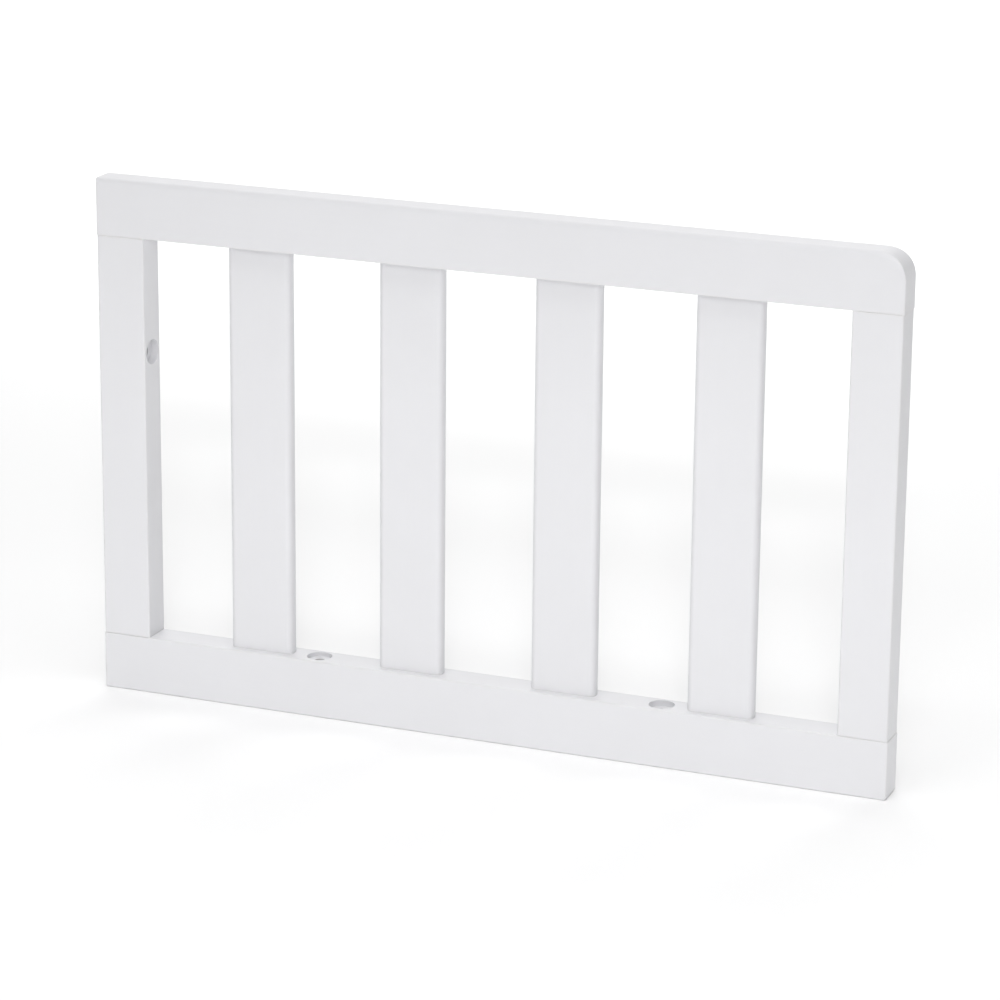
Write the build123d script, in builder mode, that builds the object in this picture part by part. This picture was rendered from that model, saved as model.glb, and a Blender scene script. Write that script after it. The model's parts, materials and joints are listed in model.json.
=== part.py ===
"""Painted wooden guard rail that turns a crib into a toddler bed: a slatted panel on its bottom rail.

+X runs along the panel towards its free end, which has the large rounded top corner.
-Y is the front face, and +Z is up. The origin is the centre of the underside, at the height of
the bed rail that the panel is bolted down to. All sizes are in millimetres.
"""
from build123d import *
import os

# The whole panel
panel_length = 620.0
panel_thickness = 25.0

# Top rail
top_rail_height = 43.0
free_corner_radius = 20.0
top_edge_radius = 4.0

# Bottom rail
bottom_rail_height = 44.0

# Stiles: they stand between the rails, set in a little from the rails' ends
stile_length = 309.0
left_stile_width = 38.0
right_stile_width = 37.0
stile_inset = 0.5

# Slats: flat boards with well rounded edges, in the middle of the panel's thickness
slat_count = 4
slat_pitch = 121.0
slat_width = 50.0
slat_thickness = 12.0
slat_edge_radius = 4.5

# Softened edges of the boards
rail_edge_radius = 1.3
rail_corner_radius = 2.0
top_rail_joint_radius = 0.5
bottom_rail_joint_radius = 1.2
stile_edge_radius = 1.4
stile_end_radius = 0.4

# Furniture bolts: a plain hole with a counterbore for the wide flat head. The three counterbores
# are drilled to different depths. The rail's are given from the post end.
bolt_hole_diameter = 8.0
bolt_head_diameter = 19.0
rail_bolt_head_depths = [3.3, 4.5]
rail_bolt_spacing = 272.0
post_bolt_head_depth = 5.5
post_bolt_height = 265.0

# Glued dowels, with room around them for the glue
dowels_per_joint = 2
glue_gap = 0.05
end_gap = 0.5
frame_dowel_diameter = 8.0
frame_dowel_length = 40.0
frame_dowel_spacing = 18.0
slat_dowel_diameter = 6.0
slat_dowel_length = 30.0
slat_dowel_spacing = 26.0
flute_count = 10
flute_radius = 0.35
dowel_point = 1.0

# Levels and positions that follow from the sizes above
lower_joint = bottom_rail_height
upper_joint = bottom_rail_height + stile_length
panel_height = upper_joint + top_rail_height
panel_left = -panel_length / 2
panel_right = panel_length / 2
left_stile_x = panel_left + stile_inset + left_stile_width / 2
right_stile_x = panel_right - stile_inset - right_stile_width / 2
opening_left = left_stile_x + left_stile_width / 2
opening_right = right_stile_x - right_stile_width / 2
opening_middle = (opening_left + opening_right) / 2
slat_positions = [opening_middle + slat_pitch * (n - (slat_count - 1) / 2) for n in range(slat_count)]
rail_bolt_positions = [opening_middle - rail_bolt_spacing / 2, opening_middle + rail_bolt_spacing / 2]

os.makedirs("parts", exist_ok=True)


def save(piece, name):
    """Names a finished piece and writes it to its own STEP file."""
    piece.part.label = name
    export_step(piece.part, f"parts/{name}.step")


def dowel_positions(joint_positions, spacing):
    """The X position of every dowel: a row of them about the middle of each joint."""
    offsets = [spacing * (n - (dowels_per_joint - 1) / 2) for n in range(dowels_per_joint)]
    return [joint_x + offset for joint_x in joint_positions for offset in offsets]


def drill_dowel_holes(joint_positions, spacing, height, diameter, length, upward):
    """Blind holes for half of each dowel's length, from this height into the piece being built."""
    end_at_height = Align.MIN if upward else Align.MAX
    with Locations(*[(x, 0, height) for x in dowel_positions(joint_positions, spacing)]):
        Cylinder(
            radius=diameter / 2 + glue_gap,
            height=length / 2 + end_gap,
            align=(Align.CENTER, Align.CENTER, end_at_height),
            mode=Mode.SUBTRACT,
        )


def drill_frame_dowel_holes(stile_positions, height, upward):
    drill_dowel_holes(
        stile_positions, frame_dowel_spacing, height, frame_dowel_diameter, frame_dowel_length, upward
    )


def drill_slat_dowel_holes(joint_positions, height, upward):
    drill_dowel_holes(
        joint_positions, slat_dowel_spacing, height, slat_dowel_diameter, slat_dowel_length, upward
    )


def face_edges(piece):
    """The edges round the front and back faces of a board."""
    return piece.faces().filter_by(Axis.Y).edges()


def soften_rail(piece, joint_face, joint_radius):
    """Rounds a rail's front and back edges, all but those of the face that the stiles butt against.
    The edges of that face come last, and have a round of their own."""
    fillet(face_edges(piece) - joint_face.edges(), radius=rail_edge_radius)
    narrowed_face = piece.faces().filter_by(Axis.Z).sort_by_distance(joint_face.center())[0]
    fillet(narrowed_face.edges(), radius=joint_radius)


# Top rail. Its upper front and back edges have a larger round than the rest. That round follows
# the free corner and fades out on it, so it is cut by an envelope with a wider corner.
envelope_overhang = top_edge_radius
envelope_corner_radius = free_corner_radius + top_edge_radius
envelope_left = panel_left - envelope_overhang
envelope_right = panel_right + envelope_overhang
envelope_bottom = upper_joint - envelope_overhang
corner_start = (panel_right - free_corner_radius, panel_height)
corner_end = (envelope_right, panel_height - envelope_corner_radius)

with BuildPart() as top_edge_envelope:
    with BuildSketch(Plane.XZ):
        with BuildLine():
            RadiusArc(corner_start, corner_end, envelope_corner_radius)
            Polyline(
                corner_end,
                (envelope_right, envelope_bottom),
                (envelope_left, envelope_bottom),
                (envelope_left, panel_height),
                corner_start,
            )
        make_face()
    extrude(amount=panel_thickness / 2, both=True)
    fillet(face_edges(top_edge_envelope), radius=top_edge_radius)

with BuildPart() as top_rail:
    with BuildSketch(Plane.XZ) as top_rail_outline:
        with Locations((0, upper_joint)):
            Rectangle(panel_length, top_rail_height, align=(Align.CENTER, Align.MIN))
        post_corner, free_corner = top_rail_outline.vertices().group_by(Axis.Y)[-1].sort_by(Axis.X)
        fillet(free_corner, radius=free_corner_radius)
        fillet(post_corner, radius=rail_corner_radius)
    extrude(amount=panel_thickness / 2, both=True)
    soften_rail(top_rail, top_rail.faces().sort_by(Axis.Z)[0], top_rail_joint_radius)
    add(top_edge_envelope.part, mode=Mode.INTERSECT)
    drill_frame_dowel_holes([left_stile_x, right_stile_x], upper_joint, upward=True)
    drill_slat_dowel_holes(slat_positions, upper_joint, upward=True)
save(top_rail, "top_rail")


# Bottom rail, with two bolt holes straight down through it, each in the gap beside an end slat
with BuildPart() as bottom_rail:
    with BuildSketch(Plane.XZ) as bottom_rail_outline:
        Rectangle(panel_length, bottom_rail_height, align=(Align.CENTER, Align.MIN))
        fillet(bottom_rail_outline.vertices().group_by(Axis.Y)[0], radius=rail_corner_radius)
    extrude(amount=panel_thickness / 2, both=True)
    soften_rail(bottom_rail, bottom_rail.faces().sort_by(Axis.Z)[-1], bottom_rail_joint_radius)
    for bolt_x, head_depth in zip(rail_bolt_positions, rail_bolt_head_depths):
        with Locations((bolt_x, 0, bottom_rail_height)):
            CounterBoreHole(bolt_hole_diameter / 2, bolt_head_diameter / 2, head_depth)
    drill_frame_dowel_holes([left_stile_x, right_stile_x], lower_joint, upward=False)
    drill_slat_dowel_holes(slat_positions, lower_joint, upward=False)
save(bottom_rail, "bottom_rail")


# Stiles: square ends butt against the rails, and their softened edges leave a fine V at each joint
def soften_stile(piece):
    """Rounds a stile's four long edges, and then softens the edges of its two ends."""
    fillet(piece.edges().filter_by(Axis.Z), radius=stile_edge_radius)
    fillet(piece.faces().filter_by(Axis.Z).edges(), radius=stile_end_radius)


with BuildPart() as left_stile:
    with Locations((left_stile_x, 0, lower_joint)):
        Box(left_stile_width, panel_thickness, stile_length, align=(Align.CENTER, Align.CENTER, Align.MIN))
    soften_stile(left_stile)
    with Locations(Plane(origin=(opening_left, 0, post_bolt_height), z_dir=(1, 0, 0))):
        CounterBoreHole(bolt_hole_diameter / 2, bolt_head_diameter / 2, post_bolt_head_depth)
    drill_frame_dowel_holes([left_stile_x], lower_joint, upward=True)
    drill_frame_dowel_holes([left_stile_x], upper_joint, upward=False)
save(left_stile, "left_stile")

with BuildPart() as right_stile:
    with Locations((right_stile_x, 0, lower_joint)):
        Box(right_stile_width, panel_thickness, stile_length, align=(Align.CENTER, Align.CENTER, Align.MIN))
    soften_stile(right_stile)
    drill_frame_dowel_holes([right_stile_x], lower_joint, upward=True)
    drill_frame_dowel_holes([right_stile_x], upper_joint, upward=False)
save(right_stile, "right_stile")


# Slats, numbered from the post end. Their ends are cut clean and sit tight on the rails.
for number, slat_x in enumerate(slat_positions, start=1):
    with BuildPart() as slat:
        with Locations((slat_x, 0, lower_joint)):
            Box(slat_width, slat_thickness, stile_length, align=(Align.CENTER, Align.CENTER, Align.MIN))
        fillet(slat.edges().filter_by(Axis.Z), radius=slat_edge_radius)
        drill_slat_dowel_holes([slat_x], lower_joint, upward=True)
        drill_slat_dowel_holes([slat_x], upper_joint, upward=False)
    save(slat, f"slat_{number}")


# Dowels: fluted pins with pointed ends, half in a rail and half in a stile or a slat
def save_dowels(name, joint_x, joint_height, spacing, diameter, length):
    """Builds one joint's row of dowels, centred on the joint."""
    radius = diameter / 2
    with BuildPart() as pin:
        with BuildSketch(Plane.XY.offset(-length / 2)):
            Circle(radius)
            with PolarLocations(radius, flute_count):
                Circle(flute_radius, mode=Mode.SUBTRACT)
        extrude(amount=length)
        with BuildSketch(Plane.XZ):
            with BuildLine():
                Polyline(
                    (0, -length / 2),
                    (radius - dowel_point, -length / 2),
                    (radius, dowel_point - length / 2),
                    (radius, length / 2 - dowel_point),
                    (radius - dowel_point, length / 2),
                    (0, length / 2),
                    close=True,
                )
            make_face()
        revolve(axis=Axis.Z, mode=Mode.INTERSECT)
    with BuildPart() as dowels:
        with Locations(*[(x, 0, joint_height) for x in dowel_positions([joint_x], spacing)]):
            add(pin.part)
    save(dowels, name)


for level, joint_height in (("bottom", lower_joint), ("top", upper_joint)):
    for side, stile_x in (("left", left_stile_x), ("right", right_stile_x)):
        save_dowels(
            f"{level}_{side}_dowels",
            stile_x,
            joint_height,
            frame_dowel_spacing,
            frame_dowel_diameter,
            frame_dowel_length,
        )
    for number, slat_x in enumerate(slat_positions, start=1):
        save_dowels(
            f"slat_{number}_{level}_dowels",
            slat_x,
            joint_height,
            slat_dowel_spacing,
            slat_dowel_diameter,
            slat_dowel_length,
        )
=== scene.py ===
"""Looks of the toddler bed's guard rail: satin white paint on its boards, bare beech dowels in its joints.

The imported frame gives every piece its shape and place. This script gives each one its material, and
sets up the floor, the lights and the camera. Lengths are in metres, as in the frame.
"""
import json
import math
import random

import bpy
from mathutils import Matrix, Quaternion, Vector


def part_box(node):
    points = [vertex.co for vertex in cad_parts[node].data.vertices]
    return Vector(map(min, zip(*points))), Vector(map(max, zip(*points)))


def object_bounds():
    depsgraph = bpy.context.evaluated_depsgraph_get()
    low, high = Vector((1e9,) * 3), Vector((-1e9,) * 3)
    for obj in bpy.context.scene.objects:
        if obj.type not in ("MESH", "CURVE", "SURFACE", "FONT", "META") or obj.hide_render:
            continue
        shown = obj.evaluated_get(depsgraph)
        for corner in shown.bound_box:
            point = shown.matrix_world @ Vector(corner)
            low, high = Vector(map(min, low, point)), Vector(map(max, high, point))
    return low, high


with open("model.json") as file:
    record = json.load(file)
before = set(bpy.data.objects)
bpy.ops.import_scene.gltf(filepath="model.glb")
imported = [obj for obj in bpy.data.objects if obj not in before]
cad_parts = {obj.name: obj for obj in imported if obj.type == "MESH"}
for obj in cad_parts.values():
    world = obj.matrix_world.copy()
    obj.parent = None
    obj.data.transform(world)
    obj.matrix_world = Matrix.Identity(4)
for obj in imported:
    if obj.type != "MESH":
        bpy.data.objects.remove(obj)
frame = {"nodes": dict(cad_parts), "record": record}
cad_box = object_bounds()

MILLIMETRE = 0.001
panel_low, panel_high = cad_box
panel_centre = (panel_low + panel_high) / 2

# The boards, by the way their grain runs, and the rows of dowels
RAILS = ["top_rail", "bottom_rail"]
UPRIGHTS = ["left_stile", "right_stile", "slat_1", "slat_2", "slat_3", "slat_4"]
DOWELS = [name for name in frame["nodes"] if name.endswith("_dowels")]

# Colours, linear
PAINT = (0.745, 0.745, 0.765)
PAINT_THIN = (0.700, 0.690, 0.680)
PAINT_SHADE = (0.725, 0.724, 0.742)
RAW_WOOD = (0.52, 0.38, 0.24)
RAW_WOOD_DARK = (0.38, 0.25, 0.14)
BEECH = (0.60, 0.41, 0.24)
BEECH_DARK = (0.46, 0.29, 0.15)
FLOOR = (0.97, 0.97, 0.97)

# Lowest and highest value of the part of a noise texture that a look is spread over
WIDE_NOISE = (0.25, 0.75)
MOST_NOISE = (0.3, 0.7)
MIDDLE_NOISE = (0.35, 0.65)
NOISE_PEAKS = (0.58, 0.66)

# Roughness, from least to most
PAINT_ROUGHNESS = (0.36, 0.46)
PAINT_FIBRE_ROUGHNESS = (-0.03, 0.03)
THIN_EDGE_POLISH = 0.06
BEECH_ROUGHNESS = (0.55, 0.72)
FLOOR_ROUGHNESS = 0.9

# How far the paint is thin in from a board's edge, and how far the spray reaches into a bolt hole
THIN_EDGE_REACH = (0.6 * MILLIMETRE, 2.6 * MILLIMETRE)
SPRAY_REACH = (2.5 * MILLIMETRE, 8.0 * MILLIMETRE)
SPRAY_FADE = 3.0 * MILLIMETRE
HOLE_MARGIN = (0.2 * MILLIMETRE, 0.4 * MILLIMETRE)

# Each board's grain is moved by up to this far along each axis, so that no two boards match
GRAIN_SHIFT = 5.0


# ---------------------------------------------------------------------------------------------
# Small helpers for node materials
# ---------------------------------------------------------------------------------------------
class Shader:
    """A node tree being built. add() makes a node, and wires or sets its inputs by name."""

    def __init__(self, name):
        self.material = bpy.data.materials.new(name)
        self.material.use_nodes = True
        self.tree = self.material.node_tree
        self.tree.nodes.clear()

    def add(self, kind, inputs=None, **settings):
        node = self.tree.nodes.new(kind)
        for setting, value in settings.items():
            setattr(node, setting, value)
        for key, value in (inputs or {}).items():
            self.feed(node.inputs[key], value)
        return node

    def feed(self, socket, value):
        if isinstance(value, bpy.types.NodeSocket):
            self.tree.links.new(value, socket)
        elif isinstance(value, tuple) and len(value) == 3 and socket.type == "RGBA":
            socket.default_value = (*value, 1.0)
        else:
            socket.default_value = value

    def position(self):
        """Object coordinates, which are the frame's own: every node's object is at the origin."""
        return self.add("ShaderNodeTexCoord").outputs["Object"]

    def math(self, operation, *values, clamp=False):
        node = self.add("ShaderNodeMath", dict(enumerate(values)), operation=operation, use_clamp=clamp)
        return node.outputs["Value"]

    def vector_math(self, operation, *values, result="Vector"):
        node = self.add("ShaderNodeVectorMath", dict(enumerate(values)), operation=operation)
        return node.outputs[result]

    def noise(self, coordinates, scale, detail, roughness=0.5):
        inputs = {"Vector": coordinates, "Scale": scale, "Detail": detail, "Roughness": roughness}
        return self.add("ShaderNodeTexNoise", inputs).outputs["Fac"]

    def grain_noise(self, coordinates, along, across, detail, roughness):
        """Noise with a scale of its own along X, the way the grain runs, and another one across it."""
        inputs = {"Vector": coordinates, "Scale": (along, across, across)}
        drawn_out = self.add("ShaderNodeMapping", inputs).outputs["Vector"]
        return self.noise(drawn_out, 1.0, detail, roughness)

    def remap(self, value, from_range, to_range=(0.0, 1.0)):
        """Maps from_range onto to_range, and holds the value to to_range."""
        names = ("Value", "From Min", "From Max", "To Min", "To Max")
        inputs = dict(zip(names, (value, *from_range, *to_range)))
        return self.add("ShaderNodeMapRange", inputs).outputs["Result"]

    def mix(self, factor, first, second):
        """Mixes two colours. A mix node's sockets share their names between types of data, so the
        ones for colours go by their numbers."""
        factor_socket, first_colour_socket, second_colour_socket, colour_result = 0, 6, 7, 2
        node = self.add("ShaderNodeMix", data_type="RGBA")
        self.feed(node.inputs[factor_socket], factor)
        self.feed(node.inputs[first_colour_socket], first)
        self.feed(node.inputs[second_colour_socket], second)
        return node.outputs[colour_result]

    def tint(self, colour, other, mask, strength):
        """Turns colour towards other, by strength where the mask is 1 and not at all where it is 0."""
        return self.mix(self.math("MULTIPLY", mask, strength), colour, other)

    def bump(self, height, depth, normal=None):
        """A bump as deep as depth, in metres, for a height that runs from 0 to 1."""
        inputs = {"Height": height, "Distance": depth, "Strength": 1.0}
        if normal is not None:
            inputs["Normal"] = normal
        return self.add("ShaderNodeBump", inputs).outputs["Normal"]

    def finish(self, colour, roughness, normal, ior=1.5):
        inputs = {"Base Color": colour, "Roughness": roughness, "Normal": normal, "IOR": ior}
        surface = self.add("ShaderNodeBsdfPrincipled", inputs)
        self.add("ShaderNodeOutputMaterial", {"Surface": surface.outputs["BSDF"]})
        return self.material


def grain_coordinates(shader, position, upright, dice):
    """The position with the grain along X, moved at random so that no two boards match."""
    turn = (0.0, math.radians(90), 0.0) if upright else (0.0, 0.0, 0.0)
    shift = tuple(dice.uniform(-GRAIN_SHIFT, GRAIN_SHIFT) for axis in "xyz")
    inputs = {"Vector": position, "Rotation": turn, "Location": shift}
    return shader.add("ShaderNodeMapping", inputs).outputs["Vector"]


def edge_distance(shader, position, node):
    """How far a point on a board's surface is from the nearest edge of the board's box."""
    low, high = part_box(node)
    centre = tuple((low + high) / 2)
    half_size = tuple((high - low) / 2)
    from_centre = shader.vector_math("SUBTRACT", position, centre)
    from_faces = shader.vector_math("SUBTRACT", half_size, shader.vector_math("ABSOLUTE", from_centre))
    x, y, z = shader.add("ShaderNodeSeparateXYZ", {"Vector": from_faces}).outputs
    lesser = shader.math("MINIMUM", x, y)
    greater = shader.math("MAXIMUM", x, y)
    return shader.math("MAXIMUM", lesser, shader.math("MINIMUM", greater, z))


def bolt_holes(node):
    """The middle, the axis, half the length and the radius of each bolt hole in a board."""
    mounts = {mount["name"]: mount for mount in frame["record"]["mounts"]}
    if node == "bottom_rail":
        low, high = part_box(node)
        bolts = mounts["rail_bolts"]
        half_spacing = bolts["dims"]["spacing_x_mm"] * MILLIMETRE / 2
        radius = bolts["dims"]["hole_r_mm"] * MILLIMETRE
        half_length = (high.z - low.z) / 2
        middle_x, middle_y = bolts["pos_m"][:2]
        middle_z = (low.z + high.z) / 2
        middles = [(middle_x + side * half_spacing, middle_y, middle_z) for side in (-1, 1)]
        return [(middle, (0.0, 0.0, 1.0), half_length, radius) for middle in middles]
    if node == "left_stile":
        bolt = mounts["post_bolt"]
        half_length = bolt["dims"]["length_mm"] * MILLIMETRE / 2
        return [(tuple(bolt["pos_m"]), (1.0, 0.0, 0.0), half_length, bolt["dims"]["r_mm"] * MILLIMETRE)]
    return []


def out_of_spray(shader, position, node, patches):
    """1 on the walls of a board's bolt holes, further in than the spray reaches, and 0 elsewhere."""
    spray_reach = shader.remap(patches, MOST_NOISE, SPRAY_REACH)
    bare = 0.0
    for middle, axis, half_length, radius in bolt_holes(node):
        offset = shader.vector_math("SUBTRACT", position, middle)
        across = shader.vector_math("CROSS_PRODUCT", offset, axis)
        from_axis = shader.vector_math("LENGTH", across, result="Value")
        outside_hole = tuple(radius + margin for margin in HOLE_MARGIN)
        on_wall = shader.remap(from_axis, outside_hole, (1.0, 0.0))
        along = shader.vector_math("DOT_PRODUCT", offset, axis, result="Value")
        depth = shader.math("SUBTRACT", half_length, shader.math("ABSOLUTE", along))
        past_spray = shader.math("SUBTRACT", depth, spray_reach)
        hidden = shader.math("DIVIDE", past_spray, SPRAY_FADE, clamp=True)
        bare = shader.math("MAXIMUM", bare, shader.math("MULTIPLY", on_wall, hidden))
    return bare


# ---------------------------------------------------------------------------------------------
# Materials
# ---------------------------------------------------------------------------------------------
def painted_wood(node, upright, seed):
    """Sprayed satin paint on a sanded board: the grain just shows through, and edges are thinner."""
    dice = random.Random(seed)
    shader = Shader(f"paint_{node}")
    position = shader.position()
    grain = grain_coordinates(shader, position, upright, dice)

    fibres = shader.grain_noise(grain, along=7.0, across=240.0, detail=5.0, roughness=0.6)
    fine_fibres = shader.grain_noise(grain, along=40.0, across=1300.0, detail=3.0, roughness=0.6)
    orange_peel = shader.noise(grain, scale=620.0, detail=2.0)
    clouds = shader.noise(grain, scale=11.0, detail=4.0, roughness=0.55)
    patches = shader.noise(grain, scale=60.0, detail=3.0, roughness=0.6)

    edge = edge_distance(shader, position, node)
    edge_reach = shader.remap(patches, MOST_NOISE, THIN_EDGE_REACH)
    near_edge = shader.math("SUBTRACT", 1.0, shader.math("DIVIDE", edge, edge_reach), clamp=True)

    streaks = shader.remap(fibres, MIDDLE_NOISE, (0.0, 0.5))
    colour = shader.tint(PAINT, PAINT_SHADE, shader.remap(clouds, MOST_NOISE), strength=0.6)
    colour = shader.tint(colour, PAINT_SHADE, streaks, strength=0.35)
    colour = shader.tint(colour, PAINT_THIN, near_edge, strength=0.45)
    if bolt_holes(node):
        bare = out_of_spray(shader, position, node, patches)
        colour = shader.mix(bare, colour, shader.mix(streaks, RAW_WOOD, RAW_WOOD_DARK))

    roughness = shader.remap(patches, WIDE_NOISE, PAINT_ROUGHNESS)
    fibre_roughness = shader.remap(fine_fibres, MOST_NOISE, PAINT_FIBRE_ROUGHNESS)
    roughness = shader.math("ADD", roughness, fibre_roughness)
    roughness = shader.math("SUBTRACT", roughness, shader.math("MULTIPLY", near_edge, THIN_EDGE_POLISH))

    normal = shader.bump(fibres, depth=0.06 * MILLIMETRE)
    normal = shader.bump(fine_fibres, depth=0.008 * MILLIMETRE, normal=normal)
    normal = shader.bump(orange_peel, depth=0.02 * MILLIMETRE, normal=normal)
    return shader.finish(colour, roughness, normal)


def bare_beech(seed):
    """Machined beech: short dark flecks along the pin, and fine fibres."""
    dice = random.Random(seed)
    shader = Shader("bare_beech")
    grain = grain_coordinates(shader, shader.position(), True, dice)
    fibres = shader.grain_noise(grain, along=30.0, across=900.0, detail=5.0, roughness=0.6)
    flecks = shader.grain_noise(grain, along=260.0, across=2400.0, detail=2.0, roughness=0.5)
    colour = shader.mix(shader.remap(fibres, MOST_NOISE), BEECH, BEECH_DARK)
    colour = shader.tint(colour, RAW_WOOD_DARK, shader.remap(flecks, NOISE_PEAKS), strength=0.6)
    roughness = shader.remap(fibres, MOST_NOISE, BEECH_ROUGHNESS)
    normal = shader.bump(fibres, depth=0.05 * MILLIMETRE)
    normal = shader.bump(flecks, depth=0.03 * MILLIMETRE, normal=normal)
    return shader.finish(colour, roughness, normal)


def plain_floor():
    """A dull pale floor, barely uneven. Its index of refraction of 1 leaves it without a reflection."""
    shader = Shader("studio_floor")
    waves = shader.noise(shader.position(), scale=4.0, detail=2.0)
    normal = shader.bump(waves, depth=0.05 * MILLIMETRE)
    return shader.finish(FLOOR, FLOOR_ROUGHNESS, normal, ior=1.0)


def dress(node, material):
    """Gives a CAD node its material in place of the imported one."""
    frame["nodes"][node].data.materials.clear()
    frame["nodes"][node].data.materials.append(material)


def dress_panel():
    """Paints each board from a seed of its own, and leaves all the dowels bare."""
    for seed, node in enumerate(RAILS + UPRIGHTS):
        dress(node, painted_wood(node, node in UPRIGHTS, seed))
    beech = bare_beech(len(RAILS + UPRIGHTS))
    for node in DOWELS:
        dress(node, beech)


# ---------------------------------------------------------------------------------------------
# Studio: floor, lights and camera
# ---------------------------------------------------------------------------------------------
def direction(azimuth, elevation):
    """Unit vector from the panel: azimuth 0 points out of its front, and grows towards its free end."""
    a, e = math.radians(azimuth), math.radians(elevation)
    return Vector((math.sin(a) * math.cos(e), -math.cos(a) * math.cos(e), math.sin(e)))


def make_floor(half_side=40.0):
    mesh = bpy.data.meshes.new("floor")
    corners = [(-1, -1), (1, -1), (1, 1), (-1, 1)]
    mesh.from_pydata([(x * half_side, y * half_side, panel_low.z) for x, y in corners], [], [(0, 1, 2, 3)])
    mesh.materials.append(plain_floor())
    floor = bpy.data.objects.new("floor", mesh)
    bpy.context.scene.collection.objects.link(floor)


def soft_light(name, place, aim, size, watts, spread=180):
    """A rectangular soft box at place that points at aim. The camera doesn't see it."""
    light = bpy.data.lights.new(name, "AREA")
    light.shape = "RECTANGLE"
    light.size, light.size_y = size
    light.energy = watts
    light.spread = math.radians(spread)
    lamp = bpy.data.objects.new(name, light)
    lamp.location = place
    lamp.rotation_mode = "QUATERNION"
    lamp.rotation_quaternion = (aim - place).to_track_quat("-Z", "Y")
    lamp.visible_camera = False
    bpy.context.scene.collection.objects.link(lamp)


def key_light(name, azimuth, elevation, size, watts, distance=4.0):
    """A soft box in this direction from the panel's centre, which it points at."""
    place = panel_centre + direction(azimuth, elevation) * distance
    soft_light(name, place, panel_centre, size, watts)


def room_light(name, place, aim, size, watts, spread=180):
    """A soft box whose place and aim are measured from the middle of the panel's underside."""
    foot = Vector((panel_centre.x, panel_centre.y, panel_low.z))
    soft_light(name, foot + Vector(place), foot + Vector(aim), size, watts, spread)


def light_studio():
    """Two keys from the front right, of which the lower is small and gives the panel's own shadows a
    crisp edge. Then boxes overhead, a bright wall behind, boxes that whiten the floor, and low cards
    that light the panel from near the floor. The far floor's box points straight down, but for a
    hair, because its turn isn't defined there."""
    key_light("high_key", azimuth=20, elevation=38, size=(1.0, 0.5), watts=18)
    key_light("low_key", azimuth=22, elevation=28.5, size=(0.4, 0.15), watts=24.5)
    room_light("front_top", place=(0.2, -0.8, 3.6), aim=(0.1, -0.3, 0), size=(2.4, 1.6), watts=37)
    room_light("rear_top", place=(-0.9, 2.4, 3.0), aim=(-0.4, 0.4, 0), size=(3.5, 1.6), watts=46)
    room_light("back_wall", place=(-1.6, 5.0, 1.3), aim=(-1.4, 0, 1.0), size=(7.0, 2.6), watts=45)
    room_light(
        "far_floor", place=(-1.3, 4.2, 2.2), aim=(-1.3, 4.2001, 0), size=(4.5, 3.5), watts=122, spread=110
    )
    room_light(
        "near_floor", place=(0.2, -2.0, 4.0), aim=(0.2, -1.1, 0), size=(1.8, 1.2), watts=3, spread=50
    )
    room_light("front_card", place=(0, -0.55, 0.03), aim=(0, 0, 0.08), size=(1.2, 0.15), watts=0.95)
    room_light("end_card", place=(0.72, -0.05, 0.03), aim=(0.3, 0, 0.08), size=(0.5, 0.12), watts=0.2)


def light_world(strength=0.32):
    """An even white light from all round."""
    world = bpy.data.worlds.new("studio")
    world.use_nodes = True
    background = world.node_tree.nodes["Background"]
    background.inputs["Color"].default_value = (1, 1, 1, 1)
    background.inputs["Strength"].default_value = strength
    bpy.context.scene.world = world


def make_camera():
    """Looks down on the panel from its front, a little to the free end's side."""
    aim_past_middle = 0.0139
    aim_height = 0.1870
    distance = 2.7527
    roll = Quaternion((0, 0, 1), math.radians(0.543))
    back = direction(azimuth=21.902, elevation=16.394)
    aim = Vector((panel_centre.x + aim_past_middle, panel_low.y, panel_low.z + aim_height))
    lens = bpy.data.cameras.new("camera")
    lens.sensor_width = 36
    lens.lens = 137.33
    camera = bpy.data.objects.new("camera", lens)
    camera.location = aim + back * distance
    camera.rotation_mode = "QUATERNION"
    camera.rotation_quaternion = (-back).to_track_quat("-Z", "Y") @ roll
    bpy.context.scene.collection.objects.link(camera)
    bpy.context.scene.camera = camera


dress_panel()
make_floor()
light_studio()
light_world()
make_camera()
bpy.context.scene.view_settings.view_transform = "Standard"
